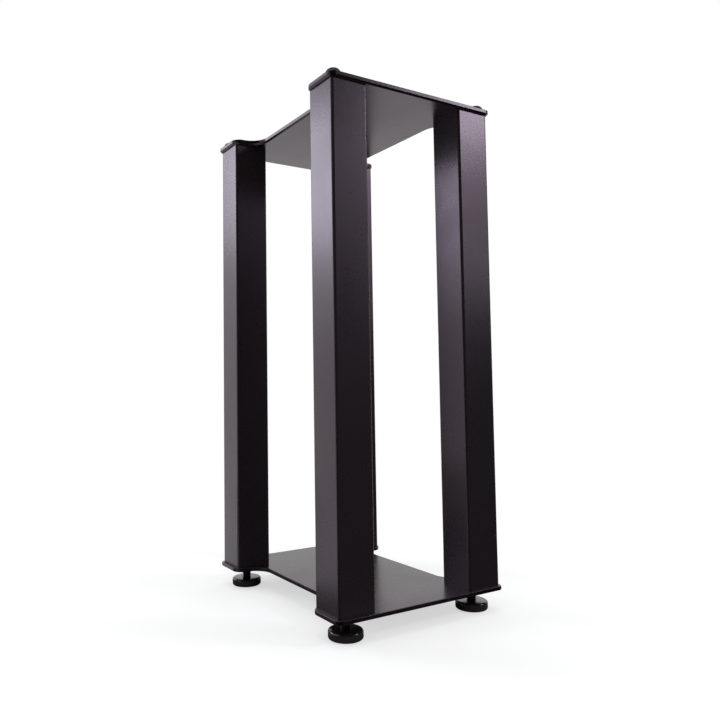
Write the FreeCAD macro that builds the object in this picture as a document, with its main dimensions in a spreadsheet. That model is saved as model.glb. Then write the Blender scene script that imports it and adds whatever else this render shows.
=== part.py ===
import FreeCAD, Part
import os

import Sketcher

# Speaker stand: two waisted steel plates, four square posts and four screw feet.
# +Z is up, the front looks along -Y, and the origin is on the floor under the middle of the stand.

# Driving dimensions in millimetres
SIZES = {
    "stand_width": 245.0,
    "stand_depth": 308.0,
    "post_side": 50.0,
    "post_wall": 2.0,
    "post_corner_radius": 3.0,
    "post_length": 612.5,
    "base_plate_thickness": 5.0,
    "top_plate_thickness": 6.5,
    "top_plate_bevel": 2.2,
    "plate_overhang": 4.0,
    "plate_corner_radius": 8.0,
    "plate_edge_radius": 0.8,
    "waist_recess": 39.5,
    "shoulder_radius": 14.0,
    "shoulder_reach": 5.0,
    "insert_clearance": 0.1,
    "insert_corner_radius": 1.5,
    "top_insert_height": 20.0,
    "bottom_insert_height": 25.0,
    "top_screw_diameter": 8.0,
    "top_screw_hole": 9.0,
    "top_screw_head": 16.0,
    "top_screw_length": 20.0,
    "top_screw_key": 5.0,
    "top_screw_key_depth": 3.0,
    "base_screw_diameter": 6.0,
    "base_screw_hole": 6.6,
    "base_screw_head": 12.0,
    "base_screw_length": 16.0,
    "base_screw_key": 4.0,
    "base_screw_key_depth": 2.2,
    "base_screw_spacing": 32.0,
    "base_screw_tapping_depth": 14.0,
    "head_clearance": 0.2,
    "thread_clearance": 0.05,
    "stud_diameter": 12.0,
    "stud_hole": 13.0,
    "stud_chamfer": 1.2,
    "stud_above_plate": 27.5,
    "foot_gap": 15.0,
    "disc_diameter": 41.0,
    "disc_height": 10.5,
    "disc_rim_radius": 2.5,
    "disc_web": 1.0,
    "sole_seat_ring": 1.2,
    "sole_clearance": 0.3,
    "sole_seat_depth": 2.0,
    "sole_proud": 0.5,
    "sole_edge_radius": 0.4,
    "pivot_diameter": 8.0,
    "pivot_clearance": 0.05,
    "pivot_height": 1.8,
    "pivot_hole_depth": 2.0,
    "pad_diameter": 19.0,
    "pad_height": 8.0,
    "pad_dome_radius": 7.0,
    "pad_from_side": 13.0,
    "pad_from_front": 14.0,
}

# The four corners of the stand, with their signs along X and Y
CORNERS = {
    "front_left": (-1, -1),
    "front_right": (1, -1),
    "back_left": (-1, 1),
    "back_right": (1, 1),
}

# Places worked out from the sheet: the posts' centre lines and the plates' half sizes
POST_X = "(sizes.stand_width - sizes.post_side) / 2"
POST_Y = "(sizes.stand_depth - sizes.post_side) / 2"
HALF_WIDTH = "(sizes.stand_width / 2 + sizes.plate_overhang)"
HALF_DEPTH = "(sizes.stand_depth / 2 + sizes.plate_overhang)"

# Edges within this of a height, in millimetres, lie flat at it
LEVEL = 0.01

# Heights from the floor up
DISC_BASE = "sizes.sole_proud"
BASE_PLATE_BASE = f"({DISC_BASE} + sizes.disc_height + sizes.foot_gap)"
POST_BASE = f"({BASE_PLATE_BASE} + sizes.base_plate_thickness)"
TOP_PLATE_BASE = f"({POST_BASE} + sizes.post_length)"
PAD_BASE = f"({TOP_PLATE_BASE} + sizes.top_plate_thickness)"

# Inside a foot's disc: heights from its underside, and the sole's seat within the ring that it leaves
PIVOT_HOLE_TOP = "(sizes.sole_seat_depth + sizes.pivot_hole_depth)"
STUD_SEAT = f"({PIVOT_HOLE_TOP} + sizes.disc_web)"
SOLE_SEAT_RADIUS = "(sizes.disc_diameter / 2 - sizes.disc_rim_radius - sizes.sole_seat_ring)"

doc = FreeCAD.newDocument("speaker_stand")
sheet = doc.addObject("Spreadsheet::Sheet", "sizes")
for row, (alias, size) in enumerate(SIZES.items(), start=1):
    sheet.set(f"A{row}", alias)
    sheet.set(f"B{row}", str(size))
    sheet.setAlias(f"B{row}", alias)
doc.recompute()


def value(expression):
    """The number that an expression of the sheet's sizes gives now."""
    return float(sheet.evalExpression(expression))


def signed(sign, expression):
    """The expression, or its negative on the stand's left and front."""
    return f"({expression})" if sign > 0 else f"-({expression})"


def new_body(label, x="0", y="0", z="0"):
    """An empty body, placed by expressions of the sheet's sizes."""
    body = doc.addObject("PartDesign::Body", label)
    body.Label = label
    for axis, place in zip("xyz", (x, y, z)):
        body.setExpression(f".Placement.Base.{axis}", place)
    return body


def origin_plane(body, role):
    return next(f for f in body.Origin.OriginFeatures if f.Role == role)


def new_sketch(body, name, role="XY_Plane", height="0"):
    """A sketch on one of the body's own planes, raised along its normal by height."""
    sketch = body.newObject("Sketcher::SketchObject", name)
    sketch.AttachmentSupport = [(origin_plane(body, role), "")]
    sketch.MapMode = "FlatFace"
    sketch.setExpression(".AttachmentOffset.Base.z", height)
    return sketch


def pin_vertex(sketch, edge, vertex, place):
    """Holds a vertex at its place, given as two expressions."""
    for kind, expression in zip(("DistanceX", "DistanceY"), place):
        constraint = Sketcher.Constraint(kind, -1, 1, edge, vertex, value(expression))
        index = sketch.addConstraint(constraint)
        if expression != "0":
            sketch.setExpression(f"Constraints[{index}]", expression)


def vertex_at(sketch, edge, point):
    """Which end of an edge lies at the point."""
    ends = (1, 2)
    return min(ends, key=lambda end: sketch.getPoint(edge, end).distanceToPoint(point))


def draw_loop(sketch, corners):
    """Draws a closed outline. A corner is two expressions, and, where a quarter arc leaves it,
    the arc's radius and its sense: 1 turns left and -1 turns right."""
    points = [FreeCAD.Vector(value(corner[0]), value(corner[1]), 0) for corner in corners]
    edges = []
    for index, corner in enumerate(corners):
        start = points[index]
        end = points[(index + 1) % len(points)]
        if len(corner) == 2:
            edges.append(sketch.addGeometry(Part.LineSegment(start, end)))
            continue
        radius, sense = corner[2:]
        chord = end - start
        to_centre = FreeCAD.Vector(-chord.y, chord.x, 0) * sense / 2
        centre = (start + end) / 2 + to_centre
        bulge = centre - to_centre.normalize() * value(radius)
        edge = sketch.addGeometry(Part.Arc(start, bulge, end))
        index = sketch.addConstraint(Sketcher.Constraint("Radius", edge, value(radius)))
        sketch.setExpression(f"Constraints[{index}]", radius)
        edges.append(edge)
    for index, (corner, point) in enumerate(zip(corners, points)):
        before, after = edges[index - 1], edges[index]
        near, far = vertex_at(sketch, before, point), vertex_at(sketch, after, point)
        sketch.addConstraint(Sketcher.Constraint("Coincident", before, near, after, far))
        pin_vertex(sketch, after, far, corner[:2])


def rounded_square(side, radius):
    """A square with round corners about the sketch's middle."""
    half = f"({side}) / 2"
    flat = f"({side}) / 2 - ({radius})"
    loop = []
    for sign_x, sign_y in ((1, 1), (-1, 1), (-1, -1), (1, -1)):
        ends = [(signed(sign_x, half), signed(sign_y, flat)), (signed(sign_x, flat), signed(sign_y, half))]
        first, second = ends if sign_x == sign_y else ends[::-1]
        loop += [first + (radius, 1), second]
    return loop


def draw_circles(sketch, places, diameter):
    """Draws equal circles, each at a place given by two expressions."""
    for place in places:
        centre = FreeCAD.Vector(value(place[0]), value(place[1]), 0)
        edge = sketch.addGeometry(Part.Circle(centre, FreeCAD.Vector(0, 0, 1), value(diameter) / 2))
        index = sketch.addConstraint(Sketcher.Constraint("Diameter", edge, value(diameter)))
        sketch.setExpression(f"Constraints[{index}]", diameter)
        pin_vertex(sketch, edge, 3, place)


def pad(body, sketch, length):
    feature = body.newObject("PartDesign::Pad", f"{sketch.Name}_pad")
    feature.Profile = sketch
    feature.setExpression("Length", length)
    doc.recompute()
    return feature


def revolve(body, sketch):
    """Turns a profile drawn beside the sketch's vertical axis all the way round."""
    feature = body.newObject("PartDesign::Revolution", f"{sketch.Name}_turning")
    feature.Profile = sketch
    feature.ReferenceAxis = (sketch, ["V_Axis"])
    doc.recompute()
    return feature


def drill(body, name, places, diameter, height="0", upward=False, depth=None, countersink=None):
    """Drills equal holes from a height: through, or to a depth, with a flared mouth if asked."""
    before = body.Shape.Volume
    sketch = new_sketch(body, f"{name}_centres", height=height)
    draw_circles(sketch, places, diameter)
    doc.recompute()
    hole = body.newObject("PartDesign::Hole", name)
    hole.Profile = sketch
    hole.ThreadType = "None"
    hole.Reversed = upward
    hole.DrillPoint = "Flat"
    hole.setExpression("Diameter", diameter)
    hole.DepthType = "Dimension" if depth else "ThroughAll"
    if depth:
        hole.setExpression("Depth", depth)
    if countersink:
        hole.HoleCutType = "Countersink"
        hole.HoleCutCustomValues = True
        hole.setExpression("HoleCutDiameter", countersink)
    doc.recompute()
    if body.Shape.Volume >= before:
        raise RuntimeError(f"{name} cuts nothing")
    return hole


def repeat(body, originals, steps):
    """Repeats a body's features in pairs along its axes, as separate solids."""
    pattern = body.newObject("PartDesign::MultiTransform", f"{body.Name}_pattern")
    pattern.Originals = originals
    rows = []
    for role, length in steps:
        row_pattern = body.newObject("PartDesign::LinearPattern", f"{body.Name}_pair")
        row_pattern.Direction = (origin_plane(body, role), [""])
        row_pattern.setExpression("Length", length)
        row_pattern.Occurrences = 2
        rows.append(row_pattern)
    pattern.Transformations = rows
    body.Tip = pattern
    doc.recompute()


def plate_outline():
    """The plates' outline: straight front and back, and long sides drawn in between the posts.

    Each shoulder leaves the corner lobe on a convex quarter arc and runs into the waist on a
    concave one, so that the two radii add up to the depth of the recess."""
    throat = "(sizes.waist_recess - sizes.shoulder_radius)"
    corner = "sizes.plate_corner_radius"
    waist_x = f"{HALF_WIDTH} - sizes.waist_recess"
    turn_x = f"{HALF_WIDTH} - sizes.shoulder_radius"
    lobe_y = "sizes.stand_depth / 2 - sizes.post_side - sizes.shoulder_reach"
    quarter = [
        (waist_x, f"{lobe_y} - {throat}"),
        (turn_x, lobe_y),
        (HALF_WIDTH, f"{lobe_y} + sizes.shoulder_radius"),
        (HALF_WIDTH, f"{HALF_DEPTH} - {corner}"),
        (f"{HALF_WIDTH} - {corner}", HALF_DEPTH),
    ]
    bends = [(throat, -1), ("sizes.shoulder_radius", 1), (), (corner, 1)]
    loop = []
    for sign_x, sign_y in ((1, 1), (-1, 1), (-1, -1), (1, -1)):
        order = 1 if sign_x == sign_y else -1
        places = [(signed(sign_x, x), signed(sign_y, y)) for x, y in quarter[::order]]
        loop += [place + bend for place, bend in zip(places, bends[::order] + [()])]
    return loop


def plate(label, height, thickness):
    """A cut steel plate."""
    body = new_body(label, z=height)
    outline = new_sketch(body, f"{label}_outline")
    draw_loop(outline, plate_outline())
    pad(body, outline, thickness)
    return body


def round_edges(body, heights, radius):
    """Rounds over the edges that lie flat at the heights."""
    rounding = dress_edges(body, "Fillet", heights)
    rounding.setExpression("Radius", radius)
    doc.recompute()


def bevel_edges(body, heights, size):
    """Bevels the edges that lie flat at the heights."""
    bevel = dress_edges(body, "Chamfer", heights)
    bevel.setExpression("Size", size)
    doc.recompute()


def dress_edges(body, kind, heights):
    """A fillet or a chamfer on the edges that lie flat at the heights."""
    base = body.Tip
    levels = [value(height) for height in heights]
    names = []
    for index, edge in enumerate(base.Shape.Edges, start=1):
        box = edge.BoundBox
        if any(box.ZMax - box.ZMin < LEVEL and abs(box.ZMin - level) < LEVEL for level in levels):
            names.append(f"Edge{index}")
    dressing = body.newObject(f"PartDesign::{kind}", f"{body.Label}_{kind.lower()}")
    dressing.Base = (base, names)
    return dressing


def post_centres():
    return [(signed(x, POST_X), signed(y, POST_Y)) for x, y in CORNERS.values()]


def base_screw_places():
    """Two screws to a post, side by side along X."""
    places = []
    for side_x, side_y in CORNERS.values():
        for side in (-1, 1):
            offset = signed(side, "sizes.base_screw_spacing / 2")
            places.append((f"{signed(side_x, POST_X)} + {offset}", signed(side_y, POST_Y)))
    return places


def top_plate():
    """The upper plate, bevelled below and flared from above for one screw to each post."""
    thickness = "sizes.top_plate_thickness"
    body = plate("top_plate", TOP_PLATE_BASE, thickness)
    bevel_edges(body, ["0"], "sizes.top_plate_bevel")
    round_edges(body, [thickness], "sizes.plate_edge_radius")
    drill(
        body,
        "top_screw_holes",
        post_centres(),
        "sizes.top_screw_hole",
        height=thickness,
        countersink="sizes.top_screw_head + 2 * sizes.head_clearance",
    )
    return body


def base_plate():
    """The lower plate, with the feet's holes, and flared from below for two screws to each post."""
    thickness = "sizes.base_plate_thickness"
    body = plate("base_plate", BASE_PLATE_BASE, thickness)
    round_edges(body, ["0", thickness], "sizes.plate_edge_radius")
    drill(body, "stud_holes", post_centres(), "sizes.stud_hole", height=thickness)
    drill(
        body,
        "base_screw_holes",
        base_screw_places(),
        "sizes.base_screw_hole",
        upward=True,
        countersink="sizes.base_screw_head + 2 * sizes.head_clearance",
    )
    return body


def post(corner, x, y):
    """A length of square steel tube."""
    body = new_body(f"post_{corner}", x, y, POST_BASE)
    section = new_sketch(body, f"post_section_{corner}")
    draw_loop(section, rounded_square("sizes.post_side", "sizes.post_corner_radius"))
    bore = "sizes.post_side - 2 * sizes.post_wall"
    draw_loop(section, rounded_square(bore, "sizes.post_corner_radius - sizes.post_wall"))
    pad(body, section, "sizes.post_length")
    return body


def insert_block(label, x, y, z, height):
    """A square steel block that fits a post's bore."""
    body = new_body(label, x, y, z)
    section = new_sketch(body, f"{label}_section")
    side = "sizes.post_side - 2 * (sizes.post_wall + sizes.insert_clearance)"
    draw_loop(section, rounded_square(side, "sizes.insert_corner_radius"))
    pad(body, section, height)
    return body


def top_insert(corner, x, y):
    """The block in a post's upper end, tapped for the plate's screw."""
    height = "sizes.top_insert_height"
    body = insert_block(f"post_top_insert_{corner}", x, y, f"{TOP_PLATE_BASE} - {height}", height)
    bore = "sizes.top_screw_diameter + 2 * sizes.thread_clearance"
    drill(body, f"top_tapping_{corner}", [("0", "0")], bore, height=height)
    return body


def bottom_insert(corner, x, y):
    """The block in a post's lower end, tapped through for the foot and twice for the base screws."""
    height = "sizes.bottom_insert_height"
    body = insert_block(f"post_bottom_insert_{corner}", x, y, POST_BASE, height)
    bore = "sizes.stud_diameter + 2 * sizes.thread_clearance"
    drill(body, f"stud_tapping_{corner}", [("0", "0")], bore, height=height)
    places = [(signed(side, "sizes.base_screw_spacing / 2"), "0") for side in (-1, 1)]
    bore = "sizes.base_screw_diameter + 2 * sizes.thread_clearance"
    depth = "sizes.base_screw_tapping_depth"
    drill(body, f"base_tapping_{corner}", places, bore, upward=True, depth=depth)
    return body


def countersunk_screw(body, kind, up):
    """One flush screw at the body's origin, its head's face in the plane Z = 0 and its shank
    running down, or up where up is 1, with a hexagon socket in the head."""
    head = f"sizes.{kind}_head / 2"
    shank = f"sizes.{kind}_diameter / 2"
    profile = new_sketch(body, f"{kind}_profile", "XZ_Plane")
    loop = [
        ("0", "0"),
        (head, "0"),
        (shank, signed(up, f"{head} - {shank}")),
        (shank, signed(up, f"sizes.{kind}_length")),
        ("0", signed(up, f"sizes.{kind}_length")),
    ]
    draw_loop(profile, loop)
    turning = revolve(body, profile)
    outline = new_sketch(body, f"{kind}_socket_outline")
    draw_loop(outline, hexagon(f"sizes.{kind}_key"))
    doc.recompute()
    before = body.Shape.Volume
    socket = body.newObject("PartDesign::Pocket", f"{kind}_socket")
    socket.Profile = outline
    socket.setExpression("Length", f"sizes.{kind}_key_depth")
    socket.Reversed = up > 0
    doc.recompute()
    if body.Shape.Volume >= before:
        raise RuntimeError(f"the socket of {kind} cuts nothing")
    return [turning, socket]


def hexagon(key):
    """A hexagon about the sketch's middle, of a size across its flats."""
    corner = f"{key} / sqrt(3)"
    half_corner = f"({corner}) / 2"
    half_key = f"{key} / 2"
    upper = [(corner, "0"), (half_corner, half_key), (f"-({half_corner})", half_key)]
    return upper + [(signed(-1, x), "0" if y == "0" else signed(-1, y)) for x, y in upper]


def top_plate_screws():
    """One countersunk screw into the top of each post."""
    body = new_body("top_plate_screws", signed(-1, POST_X), signed(-1, POST_Y), PAD_BASE)
    body.AllowCompound = True
    screw = countersunk_screw(body, "top_screw", -1)
    steps = [("X_Axis", f"2 * {POST_X}"), ("Y_Axis", f"2 * {POST_Y}")]
    repeat(body, screw, steps)
    return body


def base_plate_screws():
    """Two countersunk screws into the bottom of each post."""
    x = f"{signed(-1, POST_X)} - sizes.base_screw_spacing / 2"
    body = new_body("base_plate_screws", x, signed(-1, POST_Y), BASE_PLATE_BASE)
    body.AllowCompound = True
    screw = countersunk_screw(body, "base_screw", 1)
    steps = [
        ("X_Axis", "sizes.base_screw_spacing"),
        ("X_Axis", f"2 * {POST_X}"),
        ("Y_Axis", f"2 * {POST_Y}"),
    ]
    repeat(body, screw, steps)
    return body


def foot_disc(corner, x, y):
    """The turned disc of a foot: round rims, a socket for the stud and a seat for the sole."""
    body = new_body(f"foot_disc_{corner}", x, y, DISC_BASE)
    profile = new_sketch(body, f"disc_profile_{corner}", "XZ_Plane")
    rim = "sizes.disc_rim_radius"
    radius = "sizes.disc_diameter / 2"
    pivot = "sizes.pivot_diameter / 2 + sizes.pivot_clearance"
    socket = "sizes.stud_diameter / 2 + sizes.thread_clearance"
    loop = [
        ("0", PIVOT_HOLE_TOP),
        (pivot, PIVOT_HOLE_TOP),
        (pivot, "sizes.sole_seat_depth"),
        (SOLE_SEAT_RADIUS, "sizes.sole_seat_depth"),
        (SOLE_SEAT_RADIUS, "0"),
        (f"{radius} - {rim}", "0", rim, 1),
        (radius, rim),
        (radius, f"sizes.disc_height - {rim}", rim, 1),
        (f"{radius} - {rim}", "sizes.disc_height"),
        (socket, "sizes.disc_height"),
        (socket, STUD_SEAT),
        ("0", STUD_SEAT),
    ]
    draw_loop(profile, loop)
    revolve(body, profile)
    return body


def foot_stud(corner, x, y):
    """The threaded stud that stands in the disc and screws into the post's lower block."""
    body = new_body(f"foot_stud_{corner}", x, y, f"{DISC_BASE} + {STUD_SEAT}")
    profile = new_sketch(body, f"stud_profile_{corner}", "XZ_Plane")
    radius = "sizes.stud_diameter / 2"
    chamfer = "sizes.stud_chamfer"
    top = f"sizes.disc_height - {STUD_SEAT} + sizes.foot_gap + sizes.base_plate_thickness"
    length = f"{top} + sizes.stud_above_plate"
    loop = [
        ("0", "0"),
        (radius, "0"),
        (radius, f"{length} - {chamfer}"),
        (f"{radius} - {chamfer}", length),
        ("0", length),
    ]
    draw_loop(profile, loop)
    revolve(body, profile)
    return body


def foot_sole(corner, x, y):
    """The soft sole in the disc's seat, with a middle pivot on which the disc turns."""
    body = new_body(f"foot_sole_{corner}", x, y)
    profile = new_sketch(body, f"sole_profile_{corner}", "XZ_Plane")
    radius = f"({SOLE_SEAT_RADIUS} - sizes.sole_clearance)"
    edge = "sizes.sole_edge_radius"
    seat = "sizes.sole_proud + sizes.sole_seat_depth"
    pivot = "sizes.pivot_diameter / 2"
    loop = [
        ("0", "0"),
        (f"{radius} - {edge}", "0", edge, 1),
        (radius, edge),
        (radius, seat),
        (pivot, seat),
        (pivot, f"{seat} + sizes.pivot_height"),
        ("0", f"{seat} + sizes.pivot_height"),
    ]
    draw_loop(profile, loop)
    revolve(body, profile)
    return body


def isolation_pad(corner, sign_x, sign_y):
    """A round soft pad with a domed edge, on which the loudspeaker stands."""
    x = signed(sign_x, f"{HALF_WIDTH} - sizes.pad_from_side")
    y = signed(sign_y, f"{HALF_DEPTH} - sizes.pad_from_front")
    body = new_body(f"isolation_pad_{corner}", x, y, PAD_BASE)
    profile = new_sketch(body, f"pad_profile_{corner}", "XZ_Plane")
    radius = "sizes.pad_diameter / 2"
    dome = "sizes.pad_dome_radius"
    loop = [
        ("0", "0"),
        (radius, "0"),
        (radius, f"sizes.pad_height - {dome}", dome, 1),
        (f"{radius} - {dome}", "sizes.pad_height"),
        ("0", "sizes.pad_height"),
    ]
    draw_loop(profile, loop)
    revolve(body, profile)
    return body


parts = [top_plate(), base_plate(), top_plate_screws(), base_plate_screws()]
for corner, (sign_x, sign_y) in CORNERS.items():
    x, y = signed(sign_x, POST_X), signed(sign_y, POST_Y)
    parts += [make(corner, x, y) for make in (post, top_insert, bottom_insert)]
    parts += [make(corner, x, y) for make in (foot_disc, foot_stud, foot_sole)]
    parts.append(isolation_pad(corner, sign_x, sign_y))

doc.recompute()
for item in doc.Objects:
    if {"Invalid", "Error"} & set(item.State):
        raise RuntimeError(f"{item.Label} failed: {item.State}")
for body in parts:
    if body.Shape.isNull() or not body.Shape.isValid() or not body.Shape.Solids:
        raise RuntimeError(f"{body.Label} has no valid solid")

os.makedirs("parts", exist_ok=True)
for body in parts:
    body.Shape.exportStep(f"parts/{body.Label}.step")
    box = body.Shape.BoundBox
    print(f"{body.Label}: {len(body.Shape.Solids)} solids, Z {box.ZMin:.2f} to {box.ZMax:.2f}")
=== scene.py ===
import math

import bmesh
import bpy
from mathutils import Matrix, Vector


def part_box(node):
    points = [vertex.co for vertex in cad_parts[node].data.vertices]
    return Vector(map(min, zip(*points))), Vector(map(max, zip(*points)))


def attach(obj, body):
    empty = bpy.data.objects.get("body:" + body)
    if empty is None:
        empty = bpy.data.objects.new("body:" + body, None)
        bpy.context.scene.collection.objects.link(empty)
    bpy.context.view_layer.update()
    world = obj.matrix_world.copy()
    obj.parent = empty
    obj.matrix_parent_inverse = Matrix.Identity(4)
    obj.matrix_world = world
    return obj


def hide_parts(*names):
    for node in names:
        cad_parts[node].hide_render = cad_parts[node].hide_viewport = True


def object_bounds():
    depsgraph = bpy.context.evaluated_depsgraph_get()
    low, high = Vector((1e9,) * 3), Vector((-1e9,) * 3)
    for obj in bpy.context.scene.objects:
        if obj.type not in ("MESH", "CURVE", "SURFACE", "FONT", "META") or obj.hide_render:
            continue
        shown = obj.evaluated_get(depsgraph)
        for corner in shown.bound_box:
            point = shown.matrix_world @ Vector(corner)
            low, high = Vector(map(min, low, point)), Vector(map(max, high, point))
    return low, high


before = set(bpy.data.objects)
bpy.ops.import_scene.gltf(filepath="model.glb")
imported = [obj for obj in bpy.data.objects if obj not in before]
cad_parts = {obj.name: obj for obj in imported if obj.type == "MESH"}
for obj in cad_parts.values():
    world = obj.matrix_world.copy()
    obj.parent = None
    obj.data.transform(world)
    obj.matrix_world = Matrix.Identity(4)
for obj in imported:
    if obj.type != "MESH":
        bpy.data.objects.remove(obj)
cad_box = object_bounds()

# The stand is black satin steel: four square posts between two waisted plates, on four screw feet.
# Lengths are in metres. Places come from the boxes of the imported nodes.

MM = 0.001
CORNERS = ("front_left", "front_right", "back_left", "back_right")
FULL_TURN = 2 * math.pi

# Points nearer than MERGE_DISTANCE are one, and those within AXIS_REACH of the Z axis lie on it.
# Edges that turn by less than SMOOTH_ANGLE, in degrees, shade as one curve.
MERGE_DISTANCE = 0.002 * MM
AXIS_REACH = 0.1 * MM
SMOOTH_ANGLE = 35

# Camera, fitted to the edges of the posts and plates in the 720 pixel photograph.
EYE = (-0.5468, -0.8024, 0.2899)
CAMERA_TURN = math.radians(-31.03)
CAMERA_LIFT = math.radians(3.55)
CAMERA_ROLL = math.radians(-0.69)
LENS = 34.573
SENSOR = 36.0
SHIFT_ACROSS = 0.0708
SHIFT_UP = -0.0258
CLIP_NEAR = 0.02
CLIP_FAR = 200.0

# White surround and floor. The floor's own tone fades to white between two distances.
SURROUND_FILL = 0.45
FLOOR_HALF_WIDTH = 40.0
FLOOR_TONES = (0.59,) * 3, (0.61,) * 3
FLOOR_ROUGHNESS = 0.9
FLOOR_LIFT = 0.60
FLOOR_FADE = (0.55, 1.60)

# Softboxes. Turns are in degrees from the back (+Y), leftwards, and lifts in degrees above the
# level. A radiance of 1 is as bright as the white surround.
WHITE = (1.0, 1.0, 1.0)
COOL = (0.94, 0.985, 1.03)
BLUE = (0.92, 0.985, 1.10)
SOFTBOXES = {
    "back_left_softbox": dict(turn=38, lift=21, away=2.5, size=(0.90, 0.60), radiance=6.0, colour=BLUE),
    "back_left_fill": dict(turn=48, lift=12, away=2.5, size=(0.60, 0.32), radiance=2.0, colour=BLUE),
    "back_left_glow": dict(turn=45, lift=28, away=2.5, size=(0.50, 0.40), radiance=1.1, colour=BLUE),
    "back_left_low_fill": dict(turn=34, lift=8, away=2.5, size=(0.40, 0.30), radiance=0.6, colour=BLUE),
    "front_right_softbox": dict(turn=224, lift=27, away=2.5, size=(0.42, 0.34), radiance=13.2, colour=COOL),
    "front_right_glow": dict(turn=225, lift=30, away=2.6, size=(0.62, 0.52), radiance=3.2, colour=COOL),
    "front_right_fill": dict(turn=223, lift=14, away=2.5, size=(0.52, 0.50), radiance=2.9, colour=COOL),
    "front_fill": dict(turn=205, lift=20, away=2.5, size=(0.50, 0.40), radiance=0.8, colour=COOL),
    "overhead_softbox": dict(turn=0, lift=90, away=2.6, size=(1.80, 1.80), radiance=1.6, colour=WHITE),
}

# Cards round the stand, which show only in its gloss: painted dark reflections, and a grey sheet of painted
# shade on the floor. Each has a profile of (radius, height) points that starts just above the floor, and a
# tone from black (0) to white (1).
CARD_STEPS = 32
CARD_FLOOR = 0.5 * MM
SHEET_HOLE = 0.02
NEAR_RADIUS = 0.24
SIDE_RADIUS = 0.28
SIDE_TOP = 0.13
FAR_RADIUS = 3.2
FAR_TOP = 5.5
PAINTED_REFLECTION_CARDS = {
    # Painted shade: a grey sheet on the floor under the stand. Only the gloss of the feet and plates sees it,
    # as shade round the feet.
    "painted_shade_sheet": dict(
        first_turn=0,
        last_turn=360,
        profile=[(SHEET_HOLE, CARD_FLOOR), (NEAR_RADIUS, CARD_FLOOR)],
        tone=0.25,
    ),
    # Painted reflection: a black card in front of and round the stand, which only the gloss sees. It keeps
    # the front faces dark.
    "painted_dark_reflection_front": dict(
        first_turn=98,
        last_turn=262,
        profile=[(NEAR_RADIUS, CARD_FLOOR), (FAR_RADIUS, CARD_FLOOR), (FAR_RADIUS, FAR_TOP)],
        tone=0.004,
    ),
    # Painted reflection: a small black card at the left side, which only the gloss sees.
    "painted_dark_reflection_side": dict(
        first_turn=43,
        last_turn=60,
        profile=[(NEAR_RADIUS, CARD_FLOOR), (SIDE_RADIUS, CARD_FLOOR), (SIDE_RADIUS, SIDE_TOP)],
        tone=0.004,
    ),
}

# Threads, close to the standard profile. The shares are of the pitch. A thread starts below its
# rod and ends above it, and what stands out is cut off.
THREAD_STEPS = 36
THREAD_DEPTH_SHARE = 0.61
THREAD_CREST_SHARE = 0.14
THREAD_ROOT_SHARE = 0.18
THREAD_LEAD_TURNS = 1.5
THREAD_SPARE_TURNS = 2

# Feet: the disc, its seat for the sole, the pivot between them, and the stud.
DISC_STEPS = 96
RIM_RADIUS = 2.5 * MM
RIM_STEPS = 7
SEAT_DEPTH = 2.0 * MM
SEAT_CLEARANCE = 0.3 * MM
SEAT_CHAMFER = 0.3 * MM
PIVOT_RADIUS = 4.0 * MM
PIVOT_CLEARANCE = 0.05 * MM
PIVOT_HOLE_DEPTH = 2.0 * MM
STUD_CLEARANCE = 0.05 * MM
STUD_SOCKET_CHAMFER = 0.5 * MM
STUD_CHAMFER = 1.2 * MM
STUD_PITCH = 1.75 * MM

# Rubber soles and pads.
SOLE_PROUD = 0.5 * MM
SOLE_GROOVES = 4
SOLE_GROOVE_WIDTH = 0.9 * MM
SOLE_GROOVE_DEPTH = 0.35 * MM
SOLE_EDGE = 0.4 * MM
SOLE_EDGE_STEPS = 4
PAD_STEPS = 48
PAD_DOME = 7.0 * MM
PAD_DOME_STEPS = 12
PAD_DIMPLE_RADIUS = 1.4 * MM
PAD_DIMPLE_DEPTH = 0.3 * MM

# Countersunk screws: head, shank, key and thread pitch, as on the drawing of each size.
TOP_SCREW = {"head": 16 * MM, "shank": 8 * MM, "key": 5 * MM, "key_depth": 3 * MM, "pitch": 1.25 * MM}
BASE_SCREW = {"head": 12 * MM, "shank": 6 * MM, "key": 4 * MM, "key_depth": 2.2 * MM, "pitch": 1.0 * MM}
BASE_SCREW_SPACING = 32 * MM
HEAD_LAND = 0.35 * MM
KEY_MOUTH = 0.25 * MM
KEY_SIDE_ANGLE = math.pi / 3
SCREW_STEPS = 36
SCREW_TURN = math.radians(37)
SCREW_SMOOTH_ANGLE = 15

# Finishes: the two colours that cloud into each other, the range of roughness, and the reliefs.
# Most of a noise texture's values lie in NOISE_MIDDLE.
NOISE_MIDDLE = (0.3, 0.7)
COAT_COLOURS = (0.0036, 0.0011, 0.0018), (0.0050, 0.0016, 0.0026)
COAT_REFLECTION = (1.0, 0.70, 0.93)
COAT_WORN_EDGE = (0.032, 0.028, 0.032)
COAT_DUST = (0.060, 0.055, 0.058)
COAT_DUST_SHARE = 0.3
COAT_ROUGHNESS = (0.265, 0.305)
COAT_GRAIN = (-0.01, 0.01)
COAT_PEEL_DEPTH = 0.012 * MM
COAT_SAND_DEPTH = 0.005 * MM
MOULDING_COLOURS = (0.0140, 0.0098, 0.0120), (0.0190, 0.0130, 0.0160)
MOULDING_ROUGHNESS = (0.12, 0.24)
MOULDING_HAIR_DEPTH = 0.004 * MM
RUBBER_COLOURS = (0.012, 0.012, 0.012), (0.030, 0.029, 0.029)
RUBBER_ROUGHNESS = (0.62, 0.80)
RUBBER_GRAIN_DEPTH = 0.03 * MM
BLACKENED_COLOURS = (0.022, 0.020, 0.020), (0.050, 0.046, 0.046)
BLACKENED_ROUGHNESS = (0.30, 0.46)
MILLED_COLOURS = (0.34, 0.34, 0.35), (0.48, 0.48, 0.49)
MILLED_ROUGHNESS = (0.26, 0.42)
TOOL_MARK_DEPTH = 0.01 * MM


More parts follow.
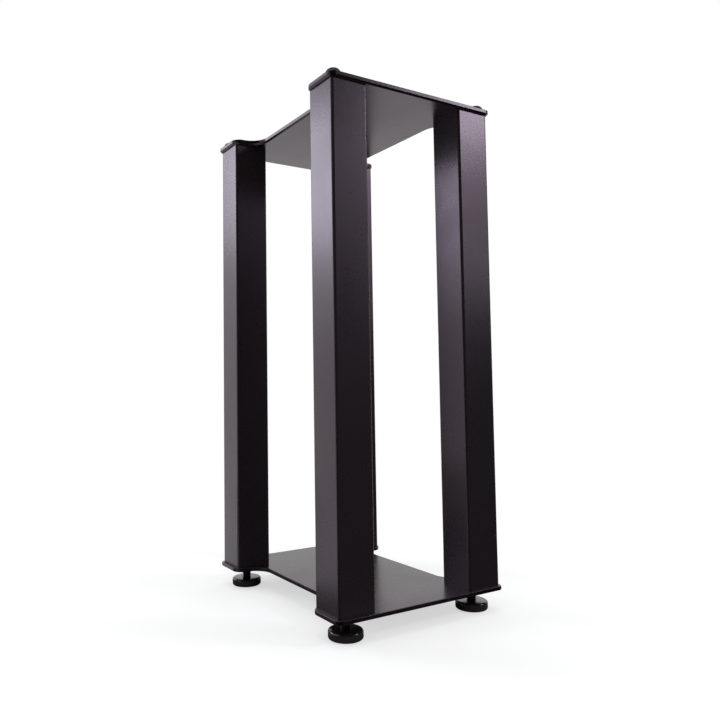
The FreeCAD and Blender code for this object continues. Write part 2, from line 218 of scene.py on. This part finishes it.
def middle(node):
    """The middle of a node's box, seen from above."""
    low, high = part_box(node)
    return (low.x + high.x) / 2, (low.y + high.y) / 2


def arc(centre_r, centre_z, radius, start, end, steps):
    """Points of an arc in the plane of a turned profile, from one angle to another in degrees."""
    angles = [math.radians(start + (end - start) * step / steps) for step in range(steps + 1)]
    return [(centre_r + radius * math.cos(a), centre_z + radius * math.sin(a)) for a in angles]


def turned(profile, steps):
    """A bmesh of a profile of (radius, height) points, spun once round the Z axis."""
    bm = bmesh.new()
    rim = [bm.verts.new((radius, 0, height)) for radius, height in profile]
    line = [bm.edges.new(pair) for pair in zip(rim, rim[1:])]
    bmesh.ops.spin(
        bm,
        geom=rim + line,
        axis=(0, 0, 1),
        cent=(0, 0, 0),
        angle=FULL_TURN,
        steps=steps,
        use_merge=True,
    )
    bmesh.ops.remove_doubles(bm, verts=bm.verts[:], dist=MERGE_DISTANCE)
    bmesh.ops.recalc_face_normals(bm, faces=bm.faces[:])
    return bm


def wrap(bm):
    """A UV map that goes round the Z axis: U is the angle in turns, V the way in or up in metres."""
    layer = bm.loops.layers.uv.new("turning")
    for face in bm.faces:
        centre = face.calc_center_median()
        base = math.atan2(centre.y, centre.x)
        for loop in face.loops:
            x, y, z = loop.vert.co
            turn = math.atan2(y, x) - base if math.hypot(x, y) > AXIS_REACH else 0.0
            turn = (turn + math.pi) % FULL_TURN - math.pi
            loop[layer].uv = ((base + turn) / FULL_TURN, z - math.hypot(x, y))


def placed(bm, name, x, y, body, finish, node=None, smooth_angle=SMOOTH_ANGLE):
    """A finished piece made of a bmesh round the Z axis, moved to (x, y)."""
    wrap(bm)
    bm.transform(Matrix.Translation((x, y, 0)))
    mesh = bpy.data.meshes.new(name)
    bm.to_mesh(mesh)
    bm.free()
    mesh.materials.append(finish)
    mesh.shade_smooth()
    mesh.set_sharp_from_angle(angle=math.radians(smooth_angle))
    piece = bpy.data.objects.new(name, mesh)
    bpy.context.scene.collection.objects.link(piece)
    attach(piece, body)
    if node:
        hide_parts(node)
    return piece


def thread(radius, pitch, bottom, top, chamfer):
    """A rod with a right-hand thread, as one closed skin: a zigzag line spun once while it climbs
    by one pitch joins its own next turn, and the ends are cut square and chamfered."""
    root = radius - THREAD_DEPTH_SHARE * pitch
    flank = (1 - THREAD_CREST_SHARE - THREAD_ROOT_SHARE) * pitch / 2
    crest = THREAD_CREST_SHARE * pitch
    turns = math.ceil((top - bottom) / pitch) + THREAD_SPARE_TURNS
    start = bottom - THREAD_LEAD_TURNS * pitch
    points = []
    for turn in range(turns):
        z = start + turn * pitch
        points += [(root, z), (radius, z + flank), (radius, z + flank + crest), (root, z + 2 * flank + crest)]
    points.append((root, start + turns * pitch))
    bm = bmesh.new()
    verts = [bm.verts.new((r, 0, z)) for r, z in points]
    edges = [bm.edges.new(pair) for pair in zip(verts, verts[1:])]
    bmesh.ops.spin(
        bm,
        geom=verts + edges,
        axis=(0, 0, 1),
        cent=(0, 0, 0),
        dvec=(0, 0, pitch / THREAD_STEPS),
        angle=FULL_TURN,
        steps=THREAD_STEPS,
    )
    bmesh.ops.remove_doubles(bm, verts=bm.verts[:], dist=MERGE_DISTANCE)
    for height, up in ((bottom, -1), (top, 1)):
        everything = bm.verts[:] + bm.edges[:] + bm.faces[:]
        cut = bmesh.ops.bisect_plane(
            bm, geom=everything, plane_co=(0, 0, height), plane_no=(0, 0, up), clear_outer=True
        )
        loop = [e for e in cut["geom_cut"] if isinstance(e, bmesh.types.BMEdge)]
        bmesh.ops.contextual_create(bm, geom=loop)
    for vert in bm.verts:
        nearest = min(vert.co.z - bottom, top - vert.co.z)
        most = radius - max(0.0, chamfer - nearest)
        across = math.hypot(vert.co.x, vert.co.y)
        if across > most:
            vert.co.x *= most / across
            vert.co.y *= most / across
    bmesh.ops.recalc_face_normals(bm, faces=bm.faces[:])
    return bm


def foot_disc(corner, x, y, finish):
    """The moulded disc: rounded rims, a socket for the stud and a seat for the sole below."""
    low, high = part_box(f"foot_disc_{corner}")
    sole_low, sole_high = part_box(f"foot_sole_{corner}")
    stud_low, stud_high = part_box(f"foot_stud_{corner}")
    inner = (high.x - low.x) / 2 - RIM_RADIUS
    socket = (stud_high.x - stud_low.x) / 2 + STUD_CLEARANCE
    seat = (sole_high.x - sole_low.x) / 2 + SEAT_CLEARANCE
    seat_top = low.z + SEAT_DEPTH
    pivot = PIVOT_RADIUS + PIVOT_CLEARANCE
    pivot_top = seat_top + PIVOT_HOLE_DEPTH
    profile = [(0, pivot_top), (pivot, pivot_top), (pivot, seat_top), (seat, seat_top)]
    profile += [(seat, low.z + SEAT_CHAMFER), (seat + SEAT_CHAMFER, low.z)]
    profile += arc(inner, low.z + RIM_RADIUS, RIM_RADIUS, -90, 0, RIM_STEPS)
    profile += arc(inner, high.z - RIM_RADIUS, RIM_RADIUS, 0, 90, RIM_STEPS)
    profile += [(socket + STUD_SOCKET_CHAMFER, high.z), (socket, high.z - STUD_SOCKET_CHAMFER)]
    profile += [(socket, stud_low.z), (0, stud_low.z)]
    bm = turned(profile, DISC_STEPS)
    body = f"foot_{corner}"
    placed(bm, f"turned_disc_{corner}", x, y, body, finish, f"foot_disc_{corner}")


def foot_stud(corner, x, y, finish):
    """The threaded stud, from its seat in the disc to its end inside the post."""
    low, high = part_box(f"foot_stud_{corner}")
    bm = thread((high.x - low.x) / 2, STUD_PITCH, low.z, high.z, STUD_CHAMFER)
    body = f"foot_{corner}"
    placed(bm, f"threaded_stud_{corner}", x, y, body, finish, f"foot_stud_{corner}")


def foot_sole(corner, x, y, finish):
    """The rubber sole, with ring grooves below and the pivot on which the disc turns above."""
    low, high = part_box(f"foot_sole_{corner}")
    radius = (high.x - low.x) / 2
    seat = low.z + SOLE_PROUD + SEAT_DEPTH
    groove_top = low.z + SOLE_GROOVE_DEPTH
    slope = SOLE_GROOVE_DEPTH / 2
    step = (radius - 2 * SOLE_EDGE) / (SOLE_GROOVES + 1)
    profile = [(0, low.z)]
    for groove in range(1, SOLE_GROOVES + 1):
        inner = groove * step - SOLE_GROOVE_WIDTH / 2
        outer = groove * step + SOLE_GROOVE_WIDTH / 2
        profile += [(inner, low.z), (inner + slope, groove_top), (outer - slope, groove_top), (outer, low.z)]
    profile += arc(radius - SOLE_EDGE, low.z + SOLE_EDGE, SOLE_EDGE, -90, 0, SOLE_EDGE_STEPS)
    profile += [(radius, seat), (PIVOT_RADIUS, seat), (PIVOT_RADIUS, high.z), (0, high.z)]
    bm = turned(profile, DISC_STEPS)
    body = f"foot_sole_{corner}"
    placed(bm, f"grooved_sole_{corner}", x, y, body, finish, f"foot_sole_{corner}")


def isolation_pad(corner, finish):
    """The domed rubber bumper on the top plate, with a small moulding dimple in its middle."""
    node = f"isolation_pad_{corner}"
    low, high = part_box(node)
    x, y = middle(node)
    radius = (high.x - low.x) / 2
    bottom = high.z - PAD_DIMPLE_DEPTH
    profile = [(0, low.z), (radius, low.z)]
    profile += arc(radius - PAD_DOME, high.z - PAD_DOME, PAD_DOME, 0, 90, PAD_DOME_STEPS)
    profile += [(PAD_DIMPLE_RADIUS, high.z), (PAD_DIMPLE_RADIUS - PAD_DIMPLE_DEPTH, bottom), (0, bottom)]
    bm = turned(profile, PAD_STEPS)
    placed(bm, f"bumper_{corner}", x, y, "stand", finish, node)


def lay_ring(verts, height, radius=0.0, key=None):
    """Lays a ring of points at a height, as a circle or as the hexagon of a key."""
    for vert in verts:
        angle = math.atan2(vert.co.y, vert.co.x)
        off_flat = angle % KEY_SIDE_ANGLE - KEY_SIDE_ANGLE / 2
        reach = key / 2 / math.cos(off_flat) if key else radius
        vert.co = (reach * math.cos(angle), reach * math.sin(angle), height)


def grow_ring(bm, rim, height, radius=0.0, key=None):
    """Extrudes a rim of edges to a new ring, and returns the new rim."""
    grown = bmesh.ops.extrude_edge_only(bm, edges=rim)["geom"]
    lay_ring([part for part in grown if isinstance(part, bmesh.types.BMVert)], height, radius, key)
    return [part for part in grown if isinstance(part, bmesh.types.BMEdge)]


def socket_screw(size, length, turn):
    """A countersunk screw with its head's face in the plane Z = 0 and its shank running down.
    The head has a rolled rim and a key socket with a chamfered mouth and a drilled bottom."""
    head = size["head"] / 2
    shank = size["shank"] / 2
    key = size["key"]
    depth = size["key_depth"]
    key_corner = key / math.sqrt(3)
    cone_end = shank - head - HEAD_LAND
    bm = bmesh.new()
    bmesh.ops.create_circle(bm, cap_ends=True, cap_tris=True, segments=SCREW_STEPS, radius=1.0)
    rim = [edge for edge in bm.edges if edge.is_boundary]
    lay_ring({vert for edge in rim for vert in edge.verts}, -depth, key=key)
    for vert in bm.verts:
        if math.hypot(vert.co.x, vert.co.y) < AXIS_REACH:
            vert.co.z = -depth - key / 4
    rim = grow_ring(bm, rim, -KEY_MOUTH, key=key)
    rim = grow_ring(bm, rim, 0, key_corner + KEY_MOUTH)
    rim = grow_ring(bm, rim, 0, head - HEAD_LAND / 2)
    rim = grow_ring(bm, rim, -HEAD_LAND / 2, head)
    rim = grow_ring(bm, rim, -HEAD_LAND, head - HEAD_LAND / 2)
    rim = grow_ring(bm, rim, cone_end, shank)
    bmesh.ops.contextual_create(bm, geom=rim)
    bmesh.ops.recalc_face_normals(bm, faces=bm.faces[:])
    rod = thread(shank, size["pitch"], -length, cone_end, size["pitch"] / 2)
    rod_mesh = bpy.data.meshes.new("screw thread")
    rod.to_mesh(rod_mesh)
    rod.free()
    bm.from_mesh(rod_mesh)
    bpy.data.meshes.remove(rod_mesh)
    bm.transform(Matrix.Rotation(turn, 4, "Z"))
    return bm


def plate_screws(finish):
    """The four screws down through the top plate and the eight up through the base plate."""
    top_low, top_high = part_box("top_plate_screws")
    base_low, base_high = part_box("base_plate_screws")
    upside_down = Matrix.Rotation(math.pi, 4, "X")
    top_screws = []
    base_screws = []
    for number, corner in enumerate(CORNERS):
        x, y = middle(f"post_{corner}")
        bm = socket_screw(TOP_SCREW, top_high.z - top_low.z, number * SCREW_TURN)
        bm.transform(Matrix.Translation((0, 0, top_high.z)))
        name = f"top_screw_{corner}"
        piece = placed(bm, name, x, y, "stand", finish, smooth_angle=SCREW_SMOOTH_ANGLE)
        top_screws.append(piece)
        for side, across in (("left", -1), ("right", 1)):
            bm = socket_screw(BASE_SCREW, base_high.z - base_low.z, (2 * number + across) * SCREW_TURN)
            bm.transform(Matrix.Translation((0, 0, base_low.z)) @ upside_down)
            name = f"base_screw_{corner}_{side}"
            place = x + across * BASE_SCREW_SPACING / 2
            piece = placed(
                bm, name, place, y, "stand", finish, smooth_angle=SCREW_SMOOTH_ANGLE
            )
            base_screws.append(piece)
    for piece in top_screws:
        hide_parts("top_plate_screws")
    for piece in base_screws:
        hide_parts("base_plate_screws")


def new_finish(name):
    """A material with its node tree and its one shader."""
    finish = bpy.data.materials.new(name)
    finish.use_nodes = True
    tree = finish.node_tree
    return finish, tree, tree.nodes["Principled BSDF"]


def add(tree, kind, inputs=None, **settings):
    """A node of a kind, with its inputs by name and its properties."""
    made = tree.nodes.new(kind)
    for name, value in settings.items():
        setattr(made, name, value)
    for name, value in (inputs or {}).items():
        made.inputs[name].default_value = value
    return made


def on_piece(tree):
    """Coordinates on the piece, in metres."""
    return add(tree, "ShaderNodeTexCoord").outputs["Object"]


def stretched(tree, place, scale):
    """Coordinates multiplied by a scale for each axis."""
    mapping = add(tree, "ShaderNodeMapping", {"Scale": scale})
    tree.links.new(place, mapping.inputs["Vector"])
    return mapping.outputs["Vector"]


def noise(tree, place, scale, detail, distortion=0.0):
    """A noise texture on given coordinates, from 0 to 1. Its scale is in waves to a metre."""
    waves = {"Scale": scale, "Detail": detail, "Distortion": distortion}
    texture = add(tree, "ShaderNodeTexNoise", waves)
    tree.links.new(place, texture.inputs["Vector"])
    return texture.outputs["Fac"]


def marks_round(tree, waves, detail):
    """Fine marks that run round a turned piece, so many across a metre of its width or height."""
    wrapped = add(tree, "ShaderNodeUVMap", uv_map="turning").outputs["UV"]
    return noise(tree, stretched(tree, wrapped, waves), scale=1.0, detail=detail)


def spread(tree, value, span, result):
    """A value mapped from one range to another, and held inside it."""
    ends = {"From Min": span[0], "From Max": span[1], "To Min": result[0], "To Max": result[1]}
    mapped = add(tree, "ShaderNodeMapRange", ends)
    tree.links.new(value, mapped.inputs["Value"])
    return mapped.outputs["Result"]


def blend(tree, share, first, second):
    """A mix of two colours, each a colour or a socket."""
    mixed = add(tree, "ShaderNodeMix", data_type="RGBA")
    tree.links.new(share, mixed.inputs["Factor"])
    for name, colour in (("A", first), ("B", second)):
        socket = [s for s in mixed.inputs if s.name == name and s.type == "RGBA"][0]
        if isinstance(colour, tuple):
            socket.default_value = (*colour, 1)
        else:
            tree.links.new(colour, socket)
    return [s for s in mixed.outputs if s.type == "RGBA"][0]


def combine(tree, operation, first, second):
    """Two values added, multiplied and so on. Each is a number or a socket."""
    math_node = add(tree, "ShaderNodeMath", operation=operation)
    for place, value in enumerate((first, second)):
        if isinstance(value, (int, float)):
            math_node.inputs[place].default_value = value
        else:
            tree.links.new(value, math_node.inputs[place])
    return math_node.outputs[0]


def bump(tree, height, distance, strength, below=None):
    """A bump of a height in metres, on top of another one where that is given."""
    made = add(tree, "ShaderNodeBump", {"Strength": strength, "Distance": distance})
    tree.links.new(height, made.inputs["Height"])
    if below:
        tree.links.new(below, made.inputs["Normal"])
    return made.outputs["Normal"]


def dress(tree, shader, colour, roughness, relief):
    """Links the three patterns that every finish has to its shader."""
    tree.links.new(colour, shader.inputs["Base Color"])
    tree.links.new(roughness, shader.inputs["Roughness"])
    tree.links.new(relief, shader.inputs["Normal"])


def powder_coat():
    """Satin black powder coat: a fine sand grain over a soft orange peel, faint rubs and dust."""
    finish, tree, shader = new_finish("satin_powder_coat")
    place = on_piece(tree)
    geometry = add(tree, "ShaderNodeNewGeometry")
    shader.inputs["IOR"].default_value = 1.5
    shader.inputs["Specular Tint"].default_value = (*COAT_REFLECTION, 1)

    colour = blend(tree, noise(tree, place, scale=38, detail=4), *COAT_COLOURS)
    facing = add(tree, "ShaderNodeSeparateXYZ")
    tree.links.new(geometry.outputs["Normal"], facing.inputs["Vector"])
    upward = spread(tree, facing.outputs["Z"], span=(0.7, 1.0), result=(0.0, 1.0))
    specks = spread(tree, noise(tree, place, scale=900, detail=3), span=(0.60, 0.72), result=(0.0, 1.0))
    dust = combine(tree, "MULTIPLY", upward, combine(tree, "MULTIPLY", specks, COAT_DUST_SHARE))
    colour = blend(tree, dust, colour, COAT_DUST)
    edge = spread(tree, geometry.outputs["Pointiness"], span=(0.53, 0.62), result=(0.0, 0.5))
    colour = blend(tree, edge, colour, COAT_WORN_EDGE)

    cloud = noise(tree, place, scale=7, detail=5, distortion=1.2)
    rubs = spread(tree, cloud, span=(0.42, 0.66), result=COAT_ROUGHNESS)
    grain = spread(tree, noise(tree, place, scale=420, detail=3), span=NOISE_MIDDLE, result=COAT_GRAIN)
    peel = bump(tree, noise(tree, place, scale=1100, detail=2), COAT_PEEL_DEPTH, strength=0.6)
    sand = bump(tree, noise(tree, place, scale=4200, detail=2), COAT_SAND_DEPTH, strength=0.6, below=peel)
    dress(tree, shader, colour, combine(tree, "ADD", rubs, grain), sand)
    return finish


def gloss_moulding():
    """Polished black plastic, with hair scratches that run round it."""
    finish, tree, shader = new_finish("gloss_black_moulding")
    shader.inputs["IOR"].default_value = 1.55
    hairs = marks_round(tree, waves=(3, 5200, 1), detail=3)
    colour = blend(tree, noise(tree, on_piece(tree), scale=160, detail=3), *MOULDING_COLOURS)
    worn = spread(tree, hairs, span=(0.35, 0.75), result=MOULDING_ROUGHNESS)
    dress(tree, shader, colour, worn, bump(tree, hairs, MOULDING_HAIR_DEPTH, strength=0.5))
    return finish


def black_rubber():
    """Matt black rubber with a fine moulded grain and a trace of chalk."""
    finish, tree, shader = new_finish("black_rubber")
    place = on_piece(tree)
    shader.inputs["Specular IOR Level"].default_value = 0.35
    chalk = spread(tree, noise(tree, place, scale=260, detail=5), span=(0.45, 0.75), result=(0.0, 1.0))
    colour = blend(tree, chalk, *RUBBER_COLOURS)
    rough = spread(tree, noise(tree, place, scale=700, detail=2), span=NOISE_MIDDLE, result=RUBBER_ROUGHNESS)
    grain = bump(tree, noise(tree, place, scale=2600, detail=3), RUBBER_GRAIN_DEPTH, strength=0.7)
    dress(tree, shader, colour, rough, grain)
    return finish


def blackened_steel():
    """Oil-blackened steel, brown in places, with turning marks that run round it."""
    finish, tree, shader = new_finish("blackened_steel")
    shader.inputs["Metallic"].default_value = 0.85
    stain = noise(tree, on_piece(tree), scale=320, detail=4, distortion=0.5)
    colour = blend(tree, stain, *BLACKENED_COLOURS)
    rough = spread(tree, stain, span=NOISE_MIDDLE, result=BLACKENED_ROUGHNESS)
    marks = marks_round(tree, waves=(2, 7000, 1), detail=2)
    dress(tree, shader, colour, rough, bump(tree, marks, TOOL_MARK_DEPTH, strength=0.5))
    return finish


def milled_steel():
    """Bare steel of the blocks inside the posts, with straight cutter marks and an oily haze."""
    finish, tree, shader = new_finish("milled_steel")
    place = on_piece(tree)
    shader.inputs["Metallic"].default_value = 1.0
    haze = noise(tree, place, scale=120, detail=4)
    colour = blend(tree, haze, *MILLED_COLOURS)
    rough = spread(tree, haze, span=NOISE_MIDDLE, result=MILLED_ROUGHNESS)
    marks = noise(tree, stretched(tree, place, (60, 2600, 2600)), scale=1.0, detail=3)
    dress(tree, shader, colour, rough, bump(tree, marks, TOOL_MARK_DEPTH, strength=0.6))
    return finish


def coat_node(name, finish):
    """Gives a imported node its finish."""
    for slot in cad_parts[name].material_slots:
        slot.material = finish


def seen_directly(tree):
    """1 for what the camera sees, also in a gloss or through glass, and 0 for other light."""
    path = add(tree, "ShaderNodeLightPath")
    camera = path.outputs["Is Camera Ray"]
    gloss = path.outputs["Is Glossy Ray"]
    through = path.outputs["Is Transmission Ray"]
    return combine(tree, "MAXIMUM", combine(tree, "MAXIMUM", camera, gloss), through)


def white_surround():
    """A plain white surround, which gives only a soft fill to the stand."""
    world = bpy.data.worlds.new("white_surround")
    world.use_nodes = True
    tree = world.node_tree
    background = tree.nodes["Background"]
    background.inputs["Color"].default_value = (*WHITE, 1)
    share = combine(tree, "MULTIPLY", seen_directly(tree), 1 - SURROUND_FILL)
    tree.links.new(combine(tree, "ADD", share, SURROUND_FILL), background.inputs["Strength"])
    bpy.context.scene.world = world


def studio_floor():
    """A pale matt floor that takes the stand's shadow and fades to white away from it."""
    bm = bmesh.new()
    bmesh.ops.create_grid(bm, x_segments=1, y_segments=1, size=FLOOR_HALF_WIDTH)
    mesh = bpy.data.meshes.new("studio_floor")
    bm.to_mesh(mesh)
    bm.free()
    finish, tree, shader = new_finish("pale_floor")
    place = on_piece(tree)
    shader.inputs["Roughness"].default_value = FLOOR_ROUGHNESS
    shader.inputs["Specular IOR Level"].default_value = 0.0
    pale = blend(tree, noise(tree, place, scale=6, detail=3), *FLOOR_TONES)
    tree.links.new(pale, shader.inputs["Base Color"])
    seen = seen_directly(tree)
    shader.inputs["Emission Color"].default_value = (*WHITE, 1)
    tree.links.new(combine(tree, "MULTIPLY", seen, FLOOR_LIFT), shader.inputs["Emission Strength"])
    away = add(tree, "ShaderNodeVectorMath", operation="LENGTH")
    tree.links.new(place, away.inputs["Vector"])
    fade = spread(tree, away.outputs["Value"], span=FLOOR_FADE, result=(0.0, 1.0))
    white = add(tree, "ShaderNodeEmission")
    mixed = add(tree, "ShaderNodeMixShader")
    tree.links.new(combine(tree, "MULTIPLY", fade, seen), mixed.inputs[0])
    tree.links.new(shader.outputs[0], mixed.inputs[1])
    tree.links.new(white.outputs[0], mixed.inputs[2])
    tree.links.new(mixed.outputs[0], tree.nodes["Material Output"].inputs["Surface"])
    mesh.materials.append(finish)
    floor = bpy.data.objects.new("studio_floor", mesh)
    bpy.context.scene.collection.objects.link(floor)


def outward(turn, lift=0.0):
    """The direction of a turn and a lift in degrees, away from the Z axis."""
    turn = math.radians(turn)
    lift = math.radians(lift)
    level = math.cos(lift)
    return Vector((-math.sin(turn) * level, math.cos(turn) * level, math.sin(lift)))


def softbox(name, turn, lift, away, size, radiance, colour):
    """A rectangular lamp that faces the middle of the stand."""
    lamp = bpy.data.lights.new(name, "AREA")
    lamp.shape = "RECTANGLE"
    lamp.size, lamp.size_y = size
    lamp.energy = math.pi * size[0] * size[1] * radiance
    lamp.color = colour
    holder = bpy.data.objects.new(name, lamp)
    facing = outward(turn, lift)
    holder.location = Vector((0, 0, cad_box[1].z / 2)) + away * facing
    holder.rotation_euler = facing.to_track_quat("Z", "Y").to_euler()
    holder.visible_camera = False
    bpy.context.scene.collection.objects.link(holder)


def painted_reflection_card(name, first_turn, last_turn, profile, tone):
    """A card round the stand from one turn to another, along the floor and then up, which paints a dark
    reflection into the gloss. Only the gloss sees it, so it takes no light from the stand."""
    start = outward(first_turn)
    bm = bmesh.new()
    ends = [bm.verts.new(start * radius + Vector((0, 0, height))) for radius, height in profile]
    line = [bm.edges.new(pair) for pair in zip(ends, ends[1:])]
    bmesh.ops.spin(
        bm,
        geom=ends + line,
        axis=(0, 0, 1),
        cent=(0, 0, 0),
        angle=math.radians(last_turn - first_turn),
        steps=CARD_STEPS,
    )
    mesh = bpy.data.meshes.new(name)
    bm.to_mesh(mesh)
    bm.free()
    finish, tree, shader = new_finish(name)
    shader.inputs["Base Color"].default_value = (tone, tone, tone, 1)
    shader.inputs["Specular IOR Level"].default_value = 0.0
    mesh.materials.append(finish)
    card = bpy.data.objects.new(name, mesh)
    bpy.context.scene.collection.objects.link(card)
    card.visible_camera = False
    card.visible_diffuse = False
    card.visible_shadow = False


def photo_camera():
    """The photograph's own viewpoint."""
    camera = bpy.data.cameras.new("photo_camera")
    camera.lens = LENS
    camera.sensor_width = SENSOR
    camera.shift_x = SHIFT_ACROSS
    camera.shift_y = SHIFT_UP
    camera.clip_start = CLIP_NEAR
    camera.clip_end = CLIP_FAR
    holder = bpy.data.objects.new("photo_camera", camera)
    level = Matrix.Rotation(CAMERA_TURN, 4, "Z") @ Matrix.Rotation(math.pi / 2 + CAMERA_LIFT, 4, "X")
    holder.matrix_world = Matrix.Translation(EYE) @ level @ Matrix.Rotation(CAMERA_ROLL, 4, "Z")
    bpy.context.scene.collection.objects.link(holder)
    bpy.context.scene.camera = holder


photo_camera()
white_surround()
studio_floor()
for name, lamp in SOFTBOXES.items():
    softbox(name, **lamp)
# The cards that paint dark reflections and shade into the gloss.
for name, card in PAINTED_REFLECTION_CARDS.items():
    painted_reflection_card(name, **card)

coat = powder_coat()
gloss = gloss_moulding()
rubber = black_rubber()
blackened = blackened_steel()
milled = milled_steel()

for node in ("top_plate", "base_plate"):
    coat_node(node, coat)
for corner in CORNERS:
    coat_node(f"post_{corner}", coat)
    coat_node(f"post_top_insert_{corner}", milled)
    coat_node(f"post_bottom_insert_{corner}", milled)
    foot_x, foot_y = middle(f"foot_disc_{corner}")
    foot_disc(corner, foot_x, foot_y, gloss)
    foot_stud(corner, foot_x, foot_y, blackened)
    foot_sole(corner, foot_x, foot_y, rubber)
    isolation_pad(corner, rubber)
plate_screws(blackened)

bpy.context.scene.view_settings.view_transform = "Standard"
